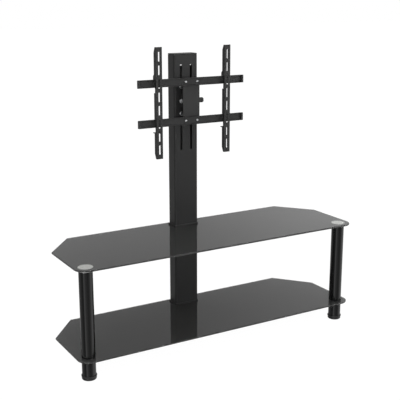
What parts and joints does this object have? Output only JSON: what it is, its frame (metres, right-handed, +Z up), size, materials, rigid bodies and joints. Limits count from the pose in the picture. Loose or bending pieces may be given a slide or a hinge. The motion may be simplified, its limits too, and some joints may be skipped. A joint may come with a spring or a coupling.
{
  "type": "tv stand with mount",
  "caption": "Glass shelf stand on front tube legs and a rear column whose mast carries a screen mount that slides, swivels and tilts.",
  "frame": {"origin": "on the floor, under the middle of the shelves' outline", "axes": "+X to the right seen from the front, +Y to the rear, +Z up; the shelves' long side lies along X"},
  "size_m": [1.2, 0.4, 1.136],
  "materials": {
    "black_glass": "toughened glass with a black coat underneath, polished",
    "disc": "fine turned, satin",
    "leg_tube": "gloss black lacquer",
    "steel": "satin black powder coat",
    "plastic": "moulded, satin",
    "rubber": "matte black",
    "zinc": "bright zinc plated"
  },
  "bodies": {
    "stand": {"upper_glass_shelf": "black_glass", "lower_glass_shelf": "black_glass", "left_disc": "disc", "left_upper_tube": "leg_tube", "left_upper_tube_top_insert": "plastic", "left_upper_tube_bottom_insert": "plastic", "left_leg_rod": "zinc", "left_gasket_above_glass": "rubber", "left_gasket_below_glass": "rubber", "left_lower_tube": "leg_tube", "left_lower_tube_insert": "plastic", "left_socket_ring": "plastic", "right_disc": "disc", "right_upper_tube": "leg_tube", "right_upper_tube_top_insert": "plastic", "right_upper_tube_bottom_insert": "plastic", "right_leg_rod": "zinc", "right_gasket_above_glass": "rubber", "right_gasket_below_glass": "rubber", "right_lower_tube": "leg_tube", "right_lower_tube_insert": "plastic", "right_socket_ring": "plastic", "rear_base": "steel", "base_pad": "rubber", "column_collar": "plastic", "column_shell": "steel", "column_cover": "plastic", "upper_shelf_pad": "rubber", "mast_collar": "plastic", "mast_shell": "steel", "mast_cover": "plastic", "mast_cap": "plastic", "left_tie_rod": "zinc", "left_tie_rod_lower_nut": "zinc", "left_tie_rod_upper_nut": "zinc", "right_tie_rod": "zinc", "right_tie_rod_lower_nut": "zinc", "right_tie_rod_upper_nut": "zinc"},
    "carriage": {"carriage_plate": "steel", "clamp_plate": "zinc", "upper_left_clamp_bolt": "zinc", "upper_right_clamp_bolt": "zinc", "lower_left_clamp_bolt": "zinc", "lower_right_clamp_bolt": "zinc", "swivel_pin": "zinc"},
    "swivel_head": {"swivel_head": "steel"},
    "tilt_frame": {"tilt_bracket": "steel", "upper_rail": "steel", "lower_rail": "steel", "tilt_bolt": "zinc"},
    "tilt_knob": {"tilt_knob": "plastic"},
    "left_arm": {"left_arm": "steel"},
    "right_arm": {"right_arm": "steel"},
    "left_lock_screw": {"left_lock_screw": "zinc"},
    "right_lock_screw": {"right_lock_screw": "zinc"},
    "left_front_foot": {"left_front_foot": "plastic"},
    "right_front_foot": {"right_front_foot": "plastic"},
    "left_rear_foot": {"left_rear_foot": "plastic"},
    "right_rear_foot": {"right_rear_foot": "plastic"}
  },
  "joints": [
    {"name": "height_slide", "type": "slide", "parent": "stand", "child": "carriage", "axis": [0, 0, 1], "range_m": [-0.14, 0.08]},
    {"name": "swivel", "type": "hinge", "parent": "carriage", "child": "swivel_head", "pos_m": [0, 0.107, 0.926], "axis": [0, 0, 1], "range_deg": [-12, 12]},
    {"name": "tilt", "type": "hinge", "parent": "swivel_head", "child": "tilt_frame", "pos_m": [0, 0.0945, 0.926], "axis": [1, 0, 0], "range_deg": [-4, 8]},
    {"name": "tilt_knob_turn", "type": "hinge", "parent": "tilt_frame", "child": "tilt_knob", "pos_m": [0.0466, 0.0945, 0.926], "axis": [1, 0, 0], "continuous": true},
    {"name": "left_arm_slide", "type": "slide", "parent": "tilt_frame", "child": "left_arm", "axis": [-1, 0, 0], "range_m": [-0.095, 0.06]},
    {"name": "right_arm_slide", "type": "slide", "parent": "tilt_frame", "child": "right_arm", "axis": [1, 0, 0], "range_m": [-0.095, 0.06]},
    {"name": "left_lock_turn", "type": "hinge", "parent": "left_arm", "child": "left_lock_screw", "pos_m": [-0.15, 0.0852, 0.81], "axis": [0, 0, 1], "continuous": true},
    {"name": "right_lock_turn", "type": "hinge", "parent": "right_arm", "child": "right_lock_screw", "pos_m": [0.15, 0.0852, 0.81], "axis": [0, 0, 1], "continuous": true},
    {"name": "left_front_foot_height", "type": "slide", "parent": "stand", "child": "left_front_foot", "axis": [0, 0, -1], "range_m": [0, 0.01]},
    {"name": "right_front_foot_height", "type": "slide", "parent": "stand", "child": "right_front_foot", "axis": [0, 0, -1], "range_m": [0, 0.01]},
    {"name": "left_rear_foot_height", "type": "slide", "parent": "stand", "child": "left_rear_foot", "axis": [0, 0, -1], "range_m": [0, 0.01]},
    {"name": "right_rear_foot_height", "type": "slide", "parent": "stand", "child": "right_rear_foot", "axis": [0, 0, -1], "range_m": [0, 0.01]}
  ]
}
